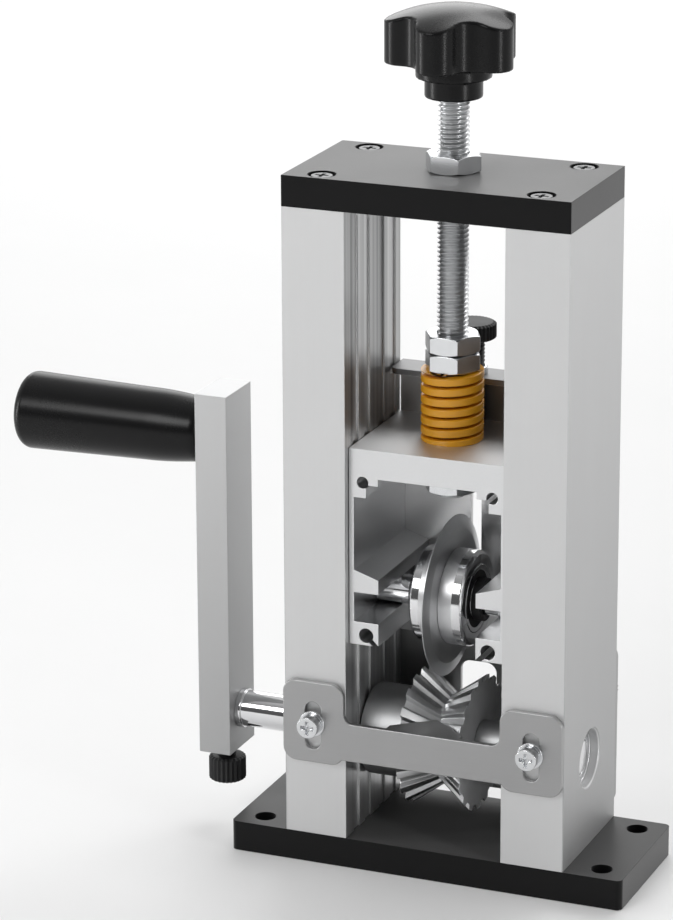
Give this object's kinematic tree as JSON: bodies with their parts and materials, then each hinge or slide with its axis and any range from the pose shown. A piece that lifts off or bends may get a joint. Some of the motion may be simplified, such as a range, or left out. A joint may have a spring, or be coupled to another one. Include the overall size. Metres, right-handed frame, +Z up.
{
  "type": "hand crank wire stripper",
  "caption": "Bench wire stripper: a crank turns a toothed V-groove feed wheel under a free-running blade in a sprung carriage set by a star-knob screw.",
  "frame": {"origin": "centre of the base plate's underside, midway between the uprights", "axes": "+Z up; -Y is the front with the notched guide plate; the crank is on -X"},
  "size_m": [0.2169, 0.0696, 0.28],
  "materials": {
    "black_plate": "black anodised, fine satin",
    "satin_aluminium": "satin anodised",
    "bright_aluminium": "smooth extruded",
    "plated_steel": "bright zinc plate",
    "tool_steel": "ground and polished",
    "guide_steel": "satin sheet",
    "polished_steel": "polished",
    "black_plastic": "moulded, slight sheen",
    "black_steel": "black oxide",
    "black_rubber": "moulded seal",
    "amber_paint": "amber enamel"
  },
  "bodies": {
    "frame": {"base_plate": "black_plate", "base_screws": "plated_steel", "left_upright": "satin_aluminium", "right_upright": "satin_aluminium", "top_plate": "black_plate", "top_screws": "plated_steel", "shaft_bearing_outer": "polished_steel", "shaft_bearing_seals": "plated_steel", "guide_screws": "plated_steel", "guide_washers": "plated_steel"},
    "drive": {"drive_shaft": "tool_steel", "wheel_left": "tool_steel", "wheel_right": "tool_steel", "wheel_spacers": "satin_aluminium", "shaft_bearing_inner": "polished_steel", "shaft_bearing_balls": "polished_steel", "crank_arm": "satin_aluminium", "handle_bolt": "plated_steel"},
    "grip": {"handle_grip": "black_plastic"},
    "clamp": {"clamp_screw": "black_steel"},
    "lock": {"lock_nut": "plated_steel"},
    "travel": {"die_spring": "amber_paint"},
    "presser": {"threaded_rod": "plated_steel", "star_knob": "black_plastic", "spring_nuts": "plated_steel", "retaining_washer": "plated_steel", "retaining_nut": "plated_steel"},
    "slide": {"carriage": "bright_aluminium", "blade_axle": "plated_steel", "axle_sleeves": "black_steel", "blade_bearing_inner": "polished_steel"},
    "blade": {"blade_disc": "tool_steel", "blade_hub": "polished_steel", "clamp_ring": "polished_steel", "blade_bearing_outer": "polished_steel", "blade_seals": "black_rubber", "blade_bearing_balls": "polished_steel"},
    "gate": {"gate_plate": "guide_steel", "gate_nut": "plated_steel"},
    "gate_turn": {"gate_screw": "black_steel"},
    "front_slide": {"front_guide": "guide_steel"},
    "rear_slide": {"rear_guide": "guide_steel"},
    "rear_left_turn": {"rear_screw_left": "black_steel"},
    "rear_right_turn": {"rear_screw_right": "black_steel"}
  },
  "joints": [
    {"name": "crank_turn", "type": "hinge", "parent": "frame", "child": "drive", "pos_m": [0, 0, 0.0396], "axis": [1, 0, 0], "continuous": true},
    {"name": "grip_turn", "type": "hinge", "parent": "drive", "child": "grip", "pos_m": [-0.1, 0, 0.134], "axis": [1, 0, 0], "continuous": true},
    {"name": "clamp_turn", "type": "hinge", "parent": "drive", "child": "clamp", "pos_m": [-0.0793, 0, 0.02], "axis": [0, 0, 1], "range_deg": [0, 360]},
    {"name": "lock_nut_turn", "type": "hinge", "parent": "frame", "child": "lock", "pos_m": [0, 0, 0.231], "axis": [0, 0, 1], "range_deg": [0, 360]},
    {"name": "screw_travel", "type": "slide", "parent": "frame", "child": "travel", "axis": [0, 0, 1], "range_m": [-0.0075, 0.03]},
    {"name": "knob_turn", "type": "hinge", "parent": "travel", "child": "presser", "pos_m": [0, 0, 0.2], "axis": [0, 0, 1], "range_deg": [-1810, 7210]},
    {"name": "blade_float", "type": "slide", "parent": "travel", "child": "slide", "axis": [0, 0, 1], "range_m": [0, 0.004], "stiffness_N_per_m": 20000, "springref_m": -0.002, "deforming": ["die_spring"]},
    {"name": "blade_spin", "type": "hinge", "parent": "slide", "child": "blade", "pos_m": [0, 0, 0.0886], "axis": [1, 0, 0], "continuous": true},
    {"name": "gate_lift", "type": "slide", "parent": "slide", "child": "gate", "axis": [0, 0, 1], "range_m": [-0.008, 0.008]},
    {"name": "gate_screw_turn", "type": "hinge", "parent": "slide", "child": "gate_turn", "pos_m": [0, 0.0176, 0.165], "axis": [0, 0, 1], "range_deg": [-2310, 2310]},
    {"name": "front_guide_lift", "type": "slide", "parent": "frame", "child": "front_slide", "axis": [0, 0, 1], "range_m": [0, 0.006]},
    {"name": "rear_guide_lift", "type": "slide", "parent": "frame", "child": "rear_slide", "axis": [0, 0, 1], "range_m": [-0.003, 0.001]},
    {"name": "rear_left_screw_turn", "type": "hinge", "parent": "frame", "child": "rear_left_turn", "pos_m": [-0.0373, 0.03, 0.05], "axis": [0, 1, 0], "range_deg": [0, 360]},
    {"name": "rear_right_screw_turn", "type": "hinge", "parent": "frame", "child": "rear_right_turn", "pos_m": [0.0373, 0.03, 0.05], "axis": [0, 1, 0], "range_deg": [0, 360]}
  ],
  "couplings": [
    {"joint": "knob_turn", "follows": "screw_travel", "rad_per_m": 4188.8},
    {"joint": "gate_screw_turn", "follows": "gate_lift", "rad_per_m": -5026.5}
  ]
}
